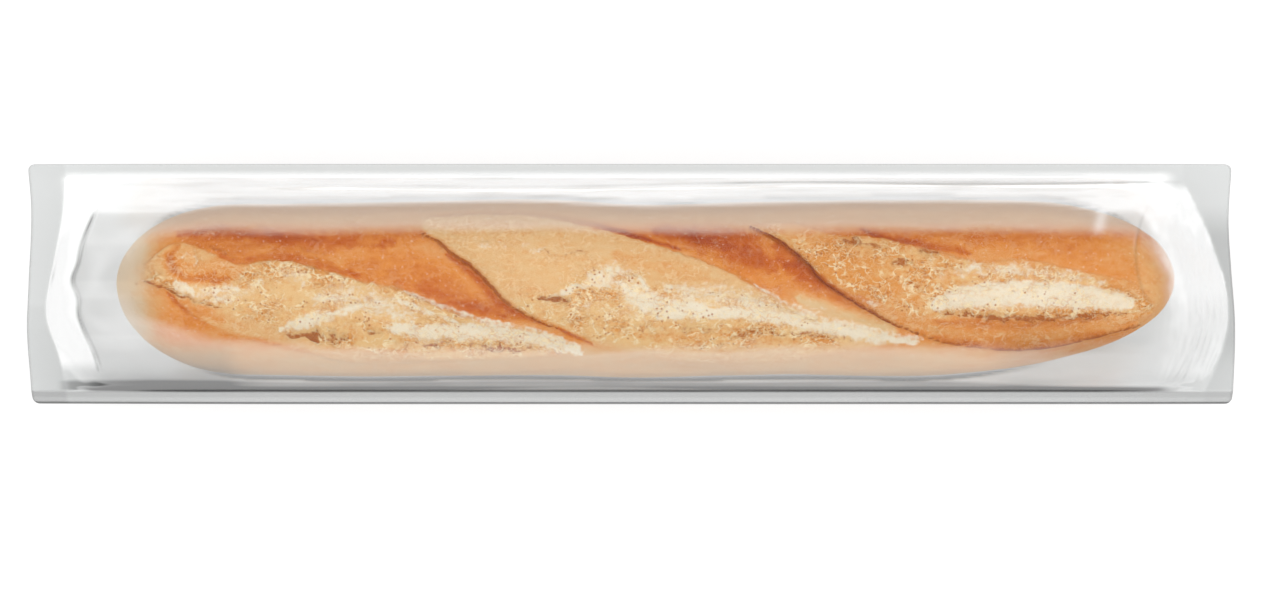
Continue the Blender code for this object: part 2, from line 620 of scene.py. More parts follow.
@dataclass(frozen=True)
class FilmFinish:
    """Thin clear film: it darkens and mirrors more where it turns away from the eye, and where its
    points carry painted shade and painted sheen.
    """

    clear: float = 0.865  # what one sheet lets through, face on
    edge: float = 0.03  # and edge on
    turn: Point = (0.26, 0.9)  # over which it darkens: 0 is face on and 1 is edge on
    mirror: float = 0.012  # what it mirrors, face on
    glancing: float = 0.21  # and more than that on slopes
    slopes: Point = (0.165, 0.252)
    painted_sheen: float = 0.46  # and more where painted sheen is laid on its points
    roughness: float = 0.2

    def material(self) -> bpy.types.Material:
        """The finish as a material."""
        bench = Bench("clear_film")
        weight = bench.node("LayerWeight", {}, {"Blend": 0.5})
        away = Value(bench, weight.outputs["Facing"])
        welds_and_shade, painted_sheen = bench.attribute("welds_and_shade"), bench.attribute("painted_sheen")
        # painted shade: welds_and_shade darkens the film beyond what its slope does
        dim = bench.held(bench.between(away, *self.turn) + welds_and_shade)
        light = self._clear(bench, self.clear)
        dark = self._clear(bench, self.edge)
        sheet = bench.node("MixShader", {}, {0: dim, 1: light, 2: dark}).outputs[0]
        sockets = {"Color": (1.0, 1.0, 1.0), "Roughness": self.roughness}
        gloss = bench.node("BsdfAnisotropic", {}, sockets).outputs[0]
        shine = self.mirror + bench.between(away, *self.slopes) * self.glancing
        # painted sheen: the film mirrors more where its points say so
        shine = shine + painted_sheen * self.painted_sheen
        film = bench.node("MixShader", {}, {0: shine, 1: sheet, 2: gloss}).outputs[0]
        return bench.finished(film)

    @staticmethod
    def _clear(bench: Bench, share: float) -> Any:
        """A see-through shader that passes that share of the light."""
        tint = (share * 0.99, share, share * 0.998)
        return bench.node("BsdfTransparent", {}, {"Color": tint}).outputs[0]


@dataclass(frozen=True)
class FloorFinish:
    """A pale, softly lit table top, partly its own light so that shadows stay faint."""

    paint: Colour = (0.26, 0.26, 0.26)
    glow: float = 0.72

    def material(self) -> bpy.types.Material:
        """The finish as a material."""
        bench = Bench("pale_table")
        sockets = {
            "Base Color": self.paint,
            "Roughness": 0.9,
            "Emission Color": (1.0, 1.0, 1.0),
            "Emission Strength": self.glow,
            "Specular IOR Level": 0.0,
        }
        return bench.finished(bench.node("BsdfPrincipled", {}, sockets).outputs[0])


# ---------------------------------------------------------------- meshes


def new_piece(
    name: str, points: Array, faces: Array, finish: bpy.types.Material, shares: dict[str, Array]
) -> bpy.types.Object:
    """Makes a smooth mesh object at the origin.

    Args:
        name: the piece's name.
        points: its points in metres, one row each.
        faces: rows of four point numbers, whose last repeats the third for a triangle.
        finish: its material.
        shares: numbers to store on the points, by attribute name.

    Returns:
        The object, linked to the scene.
    """
    sides = np.where(faces[:, 2] == faces[:, 3], 3, 4)
    keep = np.ones(faces.shape, dtype=bool)
    keep[sides == 3, 3] = False
    mesh = bpy.data.meshes.new(name)
    mesh.vertices.add(len(points))
    mesh.vertices.foreach_set("co", points.astype(np.float32).ravel())
    mesh.loops.add(int(sides.sum()))
    mesh.loops.foreach_set("vertex_index", faces[keep].astype(np.int32))
    mesh.polygons.add(len(faces))
    starts = np.concatenate([[0], np.cumsum(sides)[:-1]])
    mesh.polygons.foreach_set("loop_start", starts.astype(np.int32))
    mesh.update(calc_edges=True)
    mesh.validate()
    for share_name, values in shares.items():
        stored = mesh.attributes.new(share_name, "FLOAT", "POINT")
        stored.data.foreach_set("value", values.astype(np.float32).ravel())
    mesh.shade_smooth()
    mesh.materials.append(finish)
    piece = bpy.data.objects.new(name, mesh)
    bpy.context.scene.collection.objects.link(piece)
    return piece


def grid_faces(rows: int, columns: int, wrap: bool) -> Array:
    """Quads over a grid of points, numbered along the columns first.

    Args:
        rows: the number of rows of points.
        columns: the number of points in a row.
        wrap: whether each row closes on itself.
    """
    across = columns if wrap else columns - 1
    i, j = np.meshgrid(np.arange(rows - 1), np.arange(across), indexing="ij")
    after = (j + 1) % columns
    here, ahead = i * columns, (i + 1) * columns
    corners = [here + j, ahead + j, ahead + after, here + after]
    return np.stack([corner.ravel() for corner in corners], axis=1)


# ---------------------------------------------------------------- the loaf


SLASHES: tuple[Slash, ...] = (
    Slash(
        upper=Line(
            (
                (-137, 6), (-128, 11.5), (-117, 8.5), (-108.5, 5.5), (-100.5, 6.8), (-91.5, 5.6),
                (-84, 3.6), (-76, 1.2), (-65, -1.2), (-54, -6), (-46.5, -9), (-39, -11.3),
                (-29, -13), (-20, -15.5), (-11.5, -20),
            )
        ),
        lower=Line(
            (
                (-137, 1), (-131, -1.2), (-125, -7.5), (-114.5, -13), (-105, -15.2), (-94, -18),
                (-82.5, -21.2), (-70.5, -22.3), (-54, -21.8), (-31.5, -21.2), (-11.5, -20.2),
            )
        ),
        torn_from=Line(
            ((-137, 5), (-129, 1.5), (-120, -0.5), (-112, 1), (-106, 5.5), (-84, 6), (-11, 0))
        ),
        torn_to=Line(
            ((-137, 0), (-120, -6.5), (-104, -11), (-92, -15.5), (-70, -19.5), (-11, -20))
        ),
        start=-136.0,
        end=-12.0,
        sink=0.9,
        swell=1.5,
        toast=0.2,
    ),
    Slash(
        upper=Line(
            (
                (-60, 18.5), (-42.5, 19.5), (-23, 18.5), (-12, 16), (-0.5, 13), (11, 9.5),
                (26, 4), (33.5, 0), (41.5, -4.5), (54, -10.5), (65.5, -13), (84, -15.6),
            )
        ),
        lower=Line(
            (
                (-60, 15), (-54, 11.5), (-44, 4), (-35, -5), (-21.5, -12), (-12, -16.5),
                (1, -19.5), (18.5, -22.3), (33.5, -23), (49, -21.3), (68.5, -18), (84, -15.8),
            )
        ),
        torn_from=Line(
            (
                (-34, -5), (-27.5, -3.5), (-19.5, -0.5), (-13.5, 4), (-7, 5.2), (1.5, 4),
                (7, -0.5), (20, -2), (33.5, -2.5), (49, -7.5), (84, -14),
            )
        ),
        torn_to=Line(((-34, -8), (-20, -12.5), (-8, -16), (10, -18.5), (33, -18.5), (84, -16.5))),
        start=-58.0,
        end=83.0,
        sink=0.8,
        swell=1.7,
        toast=0.16,
    ),
    Slash(
        upper=Line(
            (
                (34, 17), (45.5, 17), (56.5, 13.8), (68.5, 13.2), (78, 11), (87, 9), (93, 7),
                (112.5, 7), (120.5, 5), (132.5, 2.5), (140.5, 0.5), (147, -5),
            )
        ),
        lower=Line(
            (
                (34, 15.5), (41.5, 11.5), (52.5, 1.5), (66, -7), (80.5, -13.5), (96.5, -17),
                (109, -18), (120.5, -16.5), (132.5, -13), (147, -8.5),
            )
        ),
        torn_from=Line(((34, 16), (52, 12), (70, 12.5), (93, 6.5), (120, 4.5), (147, -5))),
        torn_to=Line(((34, 14), (60, -2), (84, -9.5), (96.5, -9.5), (120, -10), (147, -8))),
        start=35.0,
        end=146.0,
        sink=0.8,
        swell=1.6,
        toast=0.42,
    ),
)

STROKES: tuple[Stroke, ...] = (
    # The first slash
    *strokes(
        Mark.EAR,
        (((-66, 0.3), (-54, -4.6), (-46, -7.6), (-38, -10), (-29, -11.8), (-19, -14.5)), 1.7, 0.9),
    ),
    *strokes(
        Mark.FLOUR,
        (((-64, -1.8), (-54, -5.8), (-46.5, -8.7), (-39, -11.1), (-29, -12.9), (-17, -16.6)),
         0.75, 0.7, 0.35, 0.25),
        (((-98, -12.3), (-90, -10.4), (-82, -8.6), (-75, -5)), 2.0, 1.0, 1.4, 0.2),
        (((-90, -5), (-80, -4), (-72, -6), (-60, -10)), 4.4, 0.58, 1.8, 0.3),
        (((-84, 0.6), (-76, -1.6), (-68, -5)), 2.0, 0.5, 1.4, 0.4),
        (((-68, -12.5), (-58, -13.6), (-48, -13.8), (-38, -14.2), (-28, -15.4), (-14, -19)),
         2.2, 1.3, 1.0),
        (((-66, -4.2), (-60, -6.5), (-54, -9), (-48, -11)), 1.1, 0.7, 0.8, 0.4),
        (((-130, 1), (-120, -2.5), (-111, -3), (-103, 0.8)), 2.2, 0.8, 1.5, 0.5),
        (((-100, 5), (-92, 1), (-84, -3)), 2.2, 0.45, 1.5, 0.7),
        (((-126.6, 6), (-124.6, 8.4), (-121.8, 7.2), (-123, 5)), 0.4, 0.5, 0.5, 0.3),
    ),
    *strokes(
        Mark.SWELL,
        (((-100, -10), (-84, -8), (-66, -11), (-44, -13.4), (-20, -16)), 3.6, 1.1, 0.6),
        (((-124, 6.4), (-122, 6.4)), 4.0, 0.9),
    ),
    *strokes(
        Mark.HOLLOW,
        (((-97.5, -14.2), (-90, -14.2), (-80, -15.2)), 1.1, 1.0, 1.2, 0.35),
        (((-66, -16.4), (-58, -16.8), (-51, -16.6)), 0.9, 0.9, 0.9, 0.4),
        (((-45, -17.2), (-36, -18.2), (-27, -18)), 0.9, 1.0, 0.8, 0.3),
        (((-74, -13.2), (-70, -14)), 0.8, 0.7, 0.6),
        (((-118, 10), (-114, 8.4), (-110, 7)), 0.5, 0.5, 0.7, 0.5),
    ),
    *strokes(
        Mark.CREASE,
        (((-137, 0.8), (-131, -0.8), (-125.5, -3.2), (-120, -5.2), (-114, -7)), 0.5, 0.9, 0.6, 0.3),
        (((-120, -11.5), (-108, -15), (-94, -18), (-80, -21.4), (-66, -22.6)), 0.45, 0.35, 0.3),
    ),
    *strokes(
        Mark.TOAST,
        (((-128, 14.5), (-117, 15.4), (-108, 14), (-97, 12.6), (-84, 11.6), (-66, 11)),
         2.8, 0.24, 1.2),
        (((-108, 6.3), (-100, 7.6), (-91, 6.6), (-83, 4.4), (-76, 2.4)), 1.5, 0.22, 0.6),
        (((-131, 5), (-122, 7), (-113, 5), (-106, 2)), 6.0, 0.22, 1.5),
        (((-127, 11), (-129.6, 7), (-127, 3), (-121.5, 1.6), (-116, 3.4)), 1.5, 0.4, 0.6),
        (((-118, 0.8), (-115, 1), (-112, 1.2)), 1.6, 0.5, 0.6),
        (((-130, -3), (-122, -7), (-114, -10)), 2.2, 0.3, 0.8),
    ),
    *strokes(
        Mark.PALE,
        (((-125, 7), (-121, 7.4), (-116, 8)), 1.8, 0.16, 0.8),
    ),
    # The bridge between the first slash and the second
    *strokes(
        Mark.SWELL,
        (((-92, 11), (-70, 6), (-52, -1), (-36, -9)), 5.0, 0.7),
    ),
    *strokes(
        Mark.CREASE,
        (((-59.5, 14), (-54, 11.5), (-50.5, 8.5), (-44, 4), (-39.5, -0.5), (-35, -5), (-29, -8.7),
          (-21, -12.3)), 0.62, 1.2, 0.25),
    ),
    *strokes(
        Mark.TOAST,
        (((-80, 6), (-70, 6), (-56, 2), (-44, -5), (-32, -10)), 4.5, 0.13, 0.8),
        (((-61, -0.8), (-54, -3), (-46, -6.5), (-36, -9)), 2.8, 0.18, 0.8),
        (((-52, 8.5), (-44, 2.2), (-36, -6), (-24, -11.6)), 1.3, 0.3),
    ),
    # The second slash
    *strokes(
        Mark.EAR,
        (((30, 3.4), (41.5, -2.8), (54, -9), (66, -11.6), (80, -14.4)), 1.6, 0.8),
    ),
    *strokes(
        Mark.FLOUR,
        (((-58, 14.4), (-48, 13), (-38, 11), (-20, 9.6)), 1.4, 0.4, 1.2, 0.6),
        (((34, 0), (43, -5), (54, -10.2), (65.5, -12.8), (82, -15.2)), 0.8, 0.65, 0.35, 0.25),
        (((-14, -1.5), (-9, 2.6), (-2, 3.4), (5, -1)), 2.6, 0.75, 1.2, 0.4),
        (((-4, 1), (2, -4), (12, -7), (22, -8)), 3.6, 0.95, 1.2, 0.2),
        (((-12, -0.6), (-6, 0), (0, -1.6), (5, -5)), 2.8, 0.62, 1.0, 0.15),
        (((10, -4), (22, -4.6), (34, -6.6), (46, -10)), 2.4, 0.6, 1.0, 0.25),
        (((-24, -3.8), (-18, -2.2), (-14, 0.6)), 1.1, 0.8, 0.8, 0.3),
        (((6, -9.6), (20, -8.6), (36, -9.4), (52, -12.6), (68, -15), (80, -16)), 1.9, 1.1, 0.9),
        (((20, -5), (34, -5.4), (46, -9)), 1.8, 0.7, 1.0, 0.5),
        (((8, -1), (20, -3.4), (34, -6), (48, -10), (62, -13)), 4.4, 0.5, 1.6),
        (((-14, -6), (-6, -8), (4, -10)), 2.4, 0.34, 1.6, 0.3),
    ),
    *strokes(
        Mark.SWELL,
        (((-14, 0), (-4, 1), (8, -4), (26, -7), (50, -11), (70, -14)), 4.6, 1.3, 0.6),
    ),
    *strokes(
        Mark.HOLLOW,
        (((-62, 15.4), (-54, 14.2), (-46, 12.6), (-38, 11.4)), 0.55, 0.5, 1.2, 0.7),
        (((-26, 9.4), (-19, 8.8), (-12, 9.6)), 0.6, 0.5, 1.2, 0.7),
        (((-26, -3.9), (-21.5, -4.2), (-17.5, -4.4)), 0.9, 1.0, 0.6),
        (((0, -12), (12, -12.8), (24, -12.4)), 1.1, 0.5, 1.2, 0.6),
        (((27, -15.4), (33, -13.8), (38, -13.4)), 0.9, 0.72, 0.6),
        (((39, -14.4), (46, -14.4), (54, -15), (62, -16)), 0.8, 0.7, 0.6, 0.25),
    ),
    *strokes(
        Mark.CREASE,
        (((-12, -17), (1, -19.8), (18, -22.4), (33, -23.2), (50, -21.6)), 0.45, 0.2, 0.3),
    ),
    *strokes(
        Mark.TOAST,
        (((-56, 19.4), (-40, 20), (-23, 19.2), (-10, 16.4), (2, 13), (14, 9.6)), 0.9, 0.4, 0.3),
        (((0, -14.5), (12, -15), (26, -15.2), (40, -15.8), (58, -16.8)), 1.6, 0.3, 1.0),
        (((-21, -12.4), (-16, -14.4), (-11, -16.8)), 0.8, 0.45, 0.2),
        (((-6, 8), (8, 4.5), (22, 1)), 3.0, 0.14, 0.8),
    ),
    # The bridge between the second slash and the third
    *strokes(
        Mark.SWELL,
        (((18, 13), (34, 7), (50, -1), (64, -9)), 4.6, 0.8),
    ),
    *strokes(
        Mark.CREASE,
        (((33, 16), (36, 14.4), (41.5, 11.4), (49, 5.5), (52.5, 1.5), (59, -3), (66, -7),
          (72.5, -10.4), (80.5, -13.6)), 0.7, 1.3, 0.25),
        (((80.5, -13.6), (87, -15.6), (96.5, -17), (109, -17.8), (120.5, -16.4), (132.5, -13.2),
          (143, -10.4)), 0.6, 0.95, 0.2),
    ),
    *strokes(
        Mark.TOAST,
        (((6, 15.5), (20, 12.5), (32, 9), (40, 4)), 4.4, 0.26, 1.0),
        (((16, 14), (28, 11.4), (38, 7)), 4.4, 0.1, 1.2),
        (((40, 8), (50, 0), (60, -6), (70, -11)), 2.6, 0.18, 0.6),
        (((84, -14.2), (96, -16.2), (109, -17), (121, -15.6), (133, -12.4)), 1.3, 0.2, 0.4),
    ),
    *strokes(
        Mark.PALE,
        (((46, -4), (58, -8.6), (74, -13.4)), 3.2, 0.42, 0.6),
    ),
    # The third slash
    *strokes(
        Mark.FLOUR,
        (((84, -6), (94, -3.4), (108, -2.6), (120, -3.2), (132, -4.4), (141, -5.2)), 3.4, 1.5, 0.8),
        (((86, 2), (96, 4.4), (108, 3.6), (120, 2.6), (132, 0)), 2.4, 0.55, 1.5, 0.35),
        (((60, -3), (68, -5.6), (76, -9)), 1.2, 0.4, 0.9, 0.6),
    ),
    *strokes(
        Mark.SWELL,
        (((88, -3.4), (104, -1.6), (122, -2.4), (140, -4.6)), 4.0, 1.2, 0.5),
        (((86, -12.6), (100, -13.6), (116, -13.4), (134, -10.6)), 2.6, 0.9),
    ),
    *strokes(
        Mark.HOLLOW,
        (((58, 12), (64.5, 11.2), (70, 10)), 0.9, 0.8, 0.8, 0.3),
        (((72.5, 6.4), (75.5, 5.8), (78, 6)), 1.0, 0.75, 1.1, 0.2),
        (((80, 9.4), (83, 8.8), (86, 8.6)), 0.8, 0.8, 0.6),
        (((74, 1), (79, -0.6), (83, -0.4)), 0.9, 0.55, 1.0, 0.3),
        (((86, -8.2), (97, -8.8), (108.5, -9.6), (120.5, -9.2), (132, -8.4), (140, -7.4)),
         0.95, 0.95, 1.1, 0.2),
    ),
    *strokes(
        Mark.TOAST,
        (((64, 15), (72, 12.6), (80, 11.4), (88, 10), (95, 8.6)), 1.3, 0.3, 0.5),
        (((94, 12.5), (108, 12.5), (122, 10.5), (134, 8)), 3.0, 0.08, 1.0),
        (((40, 11), (48, 6), (58, 1), (68, -5)), 4.0, 0.34, 1.2),
        (((52, 9), (62, 5), (72, 0), (80, -6)), 3.6, 0.26, 1.4),
        (((84, -10.6), (98, -11.4), (114, -11.6), (132, -9.8)), 1.8, 0.24, 0.8),
    ),
)


@dataclass(frozen=True)
class Skin:
    """What the loaf's skin is like at each of its points."""

    height: Array
    toast: Array
    crumb: Array
    flour: Array
    dark: Array
    shaded_flank: Array


@dataclass
class Loaf:
    """The baguette: a long dome with rounded ends, a flat base, and three opened slashes."""

    unit: float
    left: float = -146.2
    right: float = 154.0
    upper: float = 23.9
    lower: float = -25.9
    left_tip: float = 0.5
    right_tip: float = 1.5
    left_rounding: float = 38.0
    right_rounding_upper: float = 42.0
    right_rounding_lower: float = 82.0
    height: float = 37.8
    waist: float = 15.0
    floor_gap: float = 0.5
    rows: int = 600
    columns: int = 160
    crowding: float = 0.2
    noise: Noise = field(default_factory=lambda: Noise(11))

    def outline(self, x: Array) -> tuple[Array, Array, Array]:
        """The loaf's upper and lower edge and its middle line at each x.

        Each edge keeps its distance from the middle line, times the quarter ellipse of its ends.
        """
        from_left = (x - self.left) / self.left_rounding
        from_right = self.right - x
        start = rounded(from_left, 2.0)
        high_end = rounded(from_right / self.right_rounding_upper, 2.0)
        low_end = rounded(from_right / self.right_rounding_lower, 2.1)
        share = ramp(x, self.left, self.right)
        middle = self.left_tip + (self.right_tip - self.left_tip) * share
        dip = 1.1 * bump(x, 3.0, 22.0) + 0.9 * bump(x, -108.0, 28.0) + 0.3 * np.sin(x / 17.0)
        above = (self.upper - middle - dip) * start * high_end
        below = (middle - self.lower + 0.3 * np.sin(x / 13.0 + 1.0)) * start * low_end
        return middle + above, middle - below, middle

    def _rise_and_fall(self, x: Array) -> tuple[Array, Array]:
        """How far the crest is above the waist, and the base below it, at each x."""
        fullness = rounded((x - self.left) / 36.0, 2.0) * rounded((self.right - x) / 66.0, 2.0)
        crest = 1.0 + 0.018 * np.sin(x / 21.0 + 0.6) + 0.012 * np.sin(x / 9.0)
        rise = (self.height - self.waist) * fullness**0.8 * crest
        return rise, (self.waist + 3.0) * fullness**0.6

    def sides(self, x: Array, y: Array) -> tuple[Array, Array, Array]:
        """The loaf's top and underside without its relief, and where there is any loaf.

        Args:
            x, y: plan positions.

        Returns:
            The two heights, and the share of the way from the middle line to the loaf's edge.
        """
        edge_high, edge_low, middle = self.outline(x)
        reach = np.where(y > middle, edge_high - middle, middle - edge_low)
        share = np.abs(y - middle) / np.maximum(reach, 0.01)
        held = np.clip(share, 0.0, 1.0)
        rise, fall = self._rise_and_fall(x)
        top = self.waist + rise * np.sqrt(1.0 - held**2)
        lift = np.sqrt(1.0 - held ** (2.0 / 1.12))
        return top, np.maximum(self.waist - fall * lift**0.62, self.floor_gap), share

    def _near_tips(self, x: Array) -> Array:
        """How dense the sections are at each x: six times as dense at the tips."""
        return 1.0 + 5.0 * np.exp((self.left - x) / 3.0) + 5.0 * np.exp((x - self.right) / 3.0)

    def section(self) -> tuple[Array, Array, Array]:
        """The loaf before its relief, as a grid of points round sections along its length.

        A point at angle a goes cos a of the way to the edge, and rises as sin a above the waist,
        or sinks as the superellipse of the base below it.
        """
        lines = graded(self.left, self.right, self.rows + 1, self._near_tips)[1:-1]
        turn = np.arange(self.columns) / self.columns
        top_share = 0.68  # of the points are on the top half
        on_top = turn < top_share
        part = np.where(on_top, turn / top_share, (turn - top_share) / (1.0 - top_share))
        angle = np.pi * part + np.where(on_top, self.crowding, 0.0) * np.sin(2 * np.pi * part)
        angle = np.where(on_top, angle, angle + np.pi)
        x, a = np.meshgrid(lines, angle, indexing="ij")
        edge_high, edge_low, middle = self.outline(x)
        reach = np.where(np.cos(a) > 0, edge_high - middle, middle - edge_low)
        rise, fall = self._rise_and_fall(x)
        lift = np.abs(np.sin(a))
        z_base = np.maximum(self.waist - fall * lift**0.62, self.floor_gap)
        z = np.where(np.sin(a) >= 0, self.waist + rise * lift, z_base)
        y = middle + reach * np.cos(a) * np.where(np.sin(a) >= 0, 1.0, np.abs(np.cos(a)) ** 0.12)
        return x, y, z

    def skin(self, x: Array, y: Array, z: Array) -> Skin:
        """The relief in millimetres and the shares that colour the loaf, at each point.

        Args:
            x, y, z: the loaf's points before the relief.
        """
        noise = self.noise
        warp_x = noise.rough(x, y, z, 3.4, 3)
        warp_y = noise.rough(x + 61.0, y, z, 2.6, 3)
        gaps = noise.rough(x - 35.0, y, z, 5.0, 2)
        on_top = ramp(z, self.waist - 2.0, self.waist + 5.0)
        height = 0.45 * noise.rough(x, y, z, 30.0, 2) + 0.10 * noise.rough(x, y, z, 4.0, 3)
        shaded_flank, toast = self._baked(x, y, z)
        crumb = np.zeros(x.shape)
        for slash in SLASHES:
            inside, crown, torn = slash.opened(x, y, warp_x, warp_y)
            inside = inside * on_top
            height = height + inside * (slash.swell * crown - slash.sink)
            crumb = np.maximum(crumb, (0.28 + 0.72 * torn) * inside)
            toast = toast + inside * (slash.toast - toast)
        bare = np.zeros(x.shape)
        height, toast, flour, dark = self._stroked(
            (x, y, on_top), (warp_x, warp_y, gaps), (height, toast, bare, bare)
        )
        lumps = noise.rough(x * 0.7, y, z, 3.2, 4)
        webs = 1.0 - np.abs(noise.rough(x * 0.6 + 9.0, y + 4.0, z, 2.4, 3))
        pits = noise.pits(x, y, 2.8, 0.16) * (1.0 - 0.8 * np.clip(flour, 0.0, 1.0))
        height = height + crumb * (0.42 * lumps + 0.5 * (webs - 0.7) - 0.6 * pits)
        # painted shade: pits and the low parts between crumb lumps get a dark share
        dark = np.maximum(dark, crumb * ramp(pits, 0.3, 0.9) * 0.55)
        dark = np.maximum(dark, crumb * ramp(-lumps - 0.6 * webs, 0.1, 0.9) * 0.4)
        pores = noise.pits(x + 11.0, y, 1.7, 0.06) * on_top * (toast < 0.34) * (1.0 - crumb)
        height = height - 0.35 * pores
        # painted shade in the crust's small pores
        dark = np.maximum(dark, ramp(pores, 0.3, 0.8) * 0.5)
        flour = flour * (1.0 - np.clip(dark, 0.0, 1.0))
        return Skin(height * (0.35 + 0.65 * on_top), toast, crumb, flour, dark, shaded_flank)

    def _baked(self, x: Array, y: Array, z: Array) -> tuple[Array, Array]:
        """How strongly the loaf's sides and underside are painted with shade and the film's sheen,
        and how brown its unslashed crust is, at each point.
        """
        # painted shade and film sheen on the +Y flank, the -Y edge and the underside, which are
        # also baked paler
        low_side = 0.5 * ramp(-y, 16.0, 22.0) * (1.0 - 0.5 * ramp(x, 70.0, 110.0))
        shaded_flank = ramp(y, 12.8, 19.0) + low_side
        shaded_flank = np.maximum(shaded_flank, 1.0 - ramp(z, self.waist - 6.0, self.waist))
        pale_tip = 0.5 * (1.0 - ramp(x - self.left, 4.0, 16.0)) + 0.12 * ramp(x, 136.0, 150.0)
        toast = 0.46 - 0.12 * shaded_flank - pale_tip + 0.07 * self.noise.rough(x * 0.5, y, z, 11.0, 3)
        # paler towards the -Y edge: painted sheen of the film over that side
        toast = toast - 0.24 * ramp(-y, 15.0, 21.0) * (1.0 - 0.6 * ramp(x, 80.0, 110.0))
        toast = toast + 0.17 * bump(y, 14.6, 2.6) * ramp(x, -132.0, -118.0)
        return shaded_flank, toast

    @staticmethod
    def _stroked(
        places: tuple[Array, Array, Array],
        noises: tuple[Array, Array, Array],
        skin: tuple[Array, Array, Array, Array],
    ) -> tuple[Array, Array, Array, Array]:
        """Adds every stroke to the height, the toast, the flour and the dark of the skin, whose
        dark share is painted shade.
        """
        x, y, on_top = places
        height, toast, flour, dark = skin
        for stroke in STROKES:
            felt = stroke.weight(x, y, *noises) * on_top
            amount = stroke.amount
            if stroke.mark is Mark.EAR or stroke.mark is Mark.SWELL:
                height = height + amount * felt
            elif stroke.mark is Mark.FLOUR:
                flour = np.maximum(flour, np.clip(1.2 * amount * felt, 0.0, 1.0))
                height = height + 0.25 * amount * felt
            elif stroke.mark is Mark.HOLLOW:
                # HOLLOW and CREASE sink the skin and give it a dark share: painted shade
                height = height - 1.5 * amount * felt
                dark = np.maximum(dark, 0.8 * amount * ramp(felt, 0.25, 0.85))
            elif stroke.mark is Mark.CREASE:
                height = height - 1.3 * amount * felt
                dark = np.maximum(dark, 0.75 * amount * felt)
            elif stroke.mark is Mark.TOAST:
                toast = toast + amount * felt
            else:
                toast = toast - amount * felt
        return height, toast, flour, dark

    def build(self, finish: bpy.types.Material, ceiling: Any) -> bpy.types.Object:
        """Makes the loaf's mesh: the section grid pushed out along its normals by the relief.

        Args:
            finish: its material.
            ceiling: the height that it has to stay under, as a function of plan positions.
        """
        x, y, z = self.section()
        skin = self.skin(x, y, z)
        points = np.stack([x, y, z], axis=-1)
        along = np.gradient(points, axis=0)
        around = np.roll(points, -1, axis=1) - np.roll(points, 1, axis=1)
        normals = np.cross(along, around)
        normals = normals / np.maximum(np.linalg.norm(normals, axis=-1, keepdims=True), 1e-9)
        tips = np.minimum(x - self.left, self.right - x)
        height = skin.height * ramp(tips, 0.0, 5.0)
        points = points + normals * height[..., None]
        limit = ceiling(points[..., 0], points[..., 1]) - 0.2
        points[..., 2] = np.clip(points[..., 2], self.floor_gap, np.maximum(limit, self.waist))
        rows, columns = x.shape
        ends = np.array(
            [
                [self.left, self.left_tip, self.waist],
                [self.right, self.right_tip, self.waist],
            ]
        )
        every = np.concatenate([points.reshape(-1, 3), ends])
        faces = np.concatenate([grid_faces(rows, columns, wrap=True), self._caps(rows, columns)])
        at_tips = {"toast": 0.2, "crumb": 0.0, "flour": 0.0, "dark": 0.0, "shaded_flank": 0.5}
        shares = {
            name: np.concatenate([getattr(skin, name).ravel(), np.full(2, tip)])
            for name, tip in at_tips.items()
        }
        return new_piece("loaf", every * self.unit, faces, finish, shares)

    @staticmethod
    def _caps(rows: int, columns: int) -> Array:
        """The triangles round the loaf's two tips, whose points come after all the others."""
        fan = np.arange(columns)
        after = (fan + 1) % columns
        first, last = np.full(columns, rows * columns), np.full(columns, rows * columns + 1)
        base = (rows - 1) * columns
        left_cap = np.stack([first, fan, after, after], axis=1)
        right_cap = np.stack([last, base + after, base + fan, base + fan], axis=1)
        return np.concatenate([left_cap, right_cap])


# ---------------------------------------------------------------- the bag


